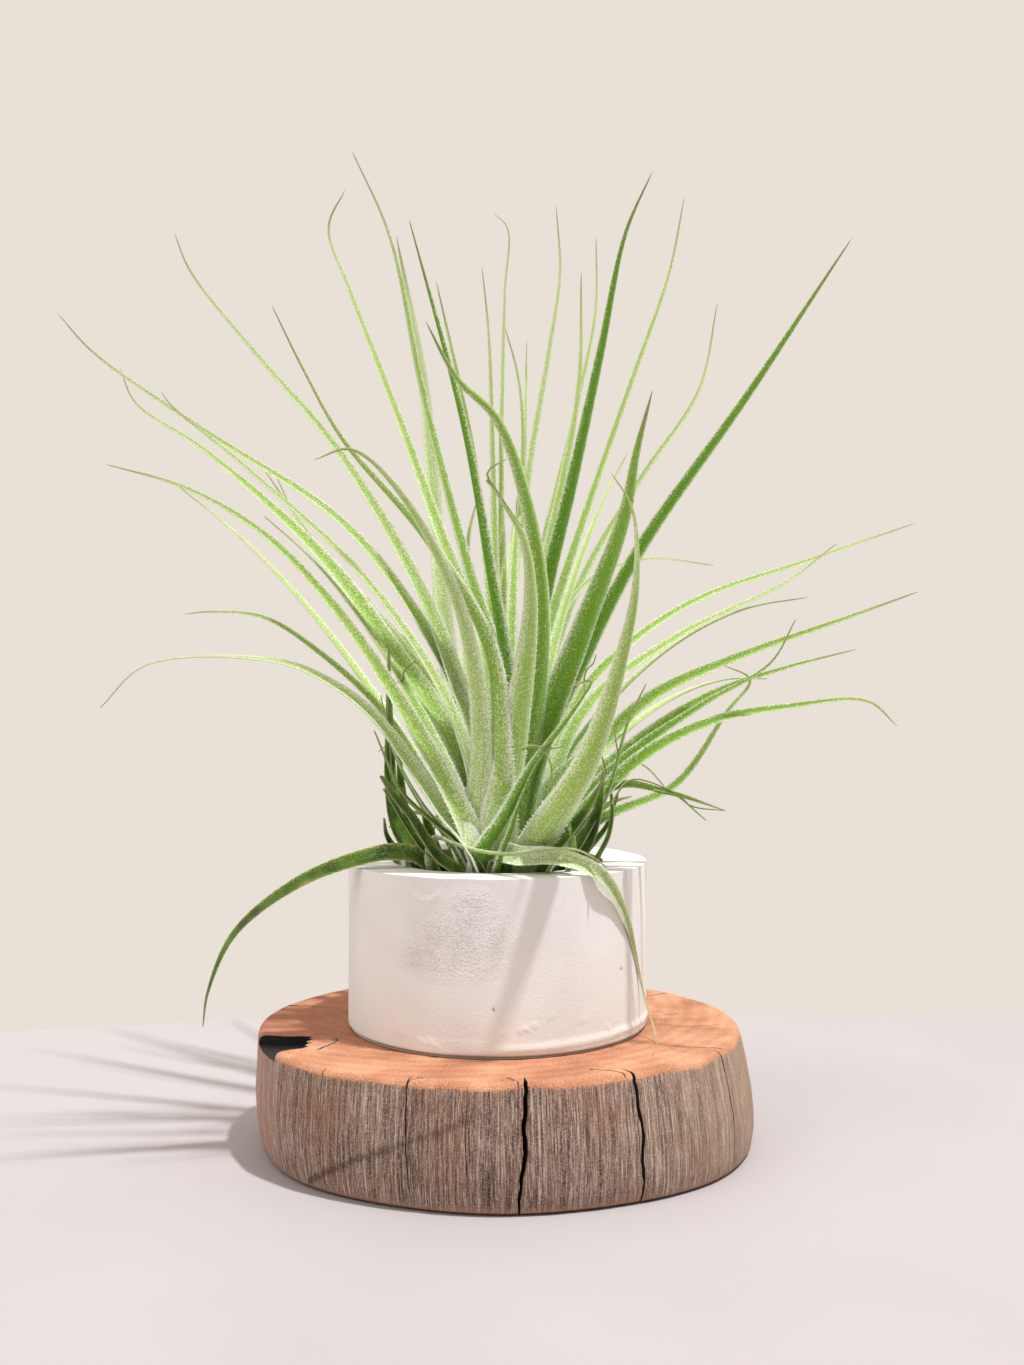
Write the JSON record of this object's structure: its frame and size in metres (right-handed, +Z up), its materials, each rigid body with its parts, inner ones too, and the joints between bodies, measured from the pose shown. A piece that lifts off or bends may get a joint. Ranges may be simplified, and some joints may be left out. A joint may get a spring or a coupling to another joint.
{
  "type": "air plant in a pot on a wood slice",
  "caption": "Tillandsia air plant, a rosette of thin silvery arching leaves, standing in a straight-sided plaster pot on a thick round slice of wood.",
  "frame": {"origin": "on the pot's axis, on the flat underside of the wood slice", "axes": "+Z up, +X to the right and +Y to the back, as the plant is seen from its front"},
  "size_m": [0.2249, 0.1908, 0.2659],
  "materials": {
    "wood": "dry sawn face with a weathered side",
    "plaster": "matt cast plaster",
    "living_leaf": "soft, covered with fine silver scales",
    "old_leaf": "dry and leathery"
  },
  "bodies": {
    "root": {"wood_slice": "wood", "pot": "plaster", "rosette": "living_leaf", "old_leaves": "old_leaf"}
  },
  "joints": []
}
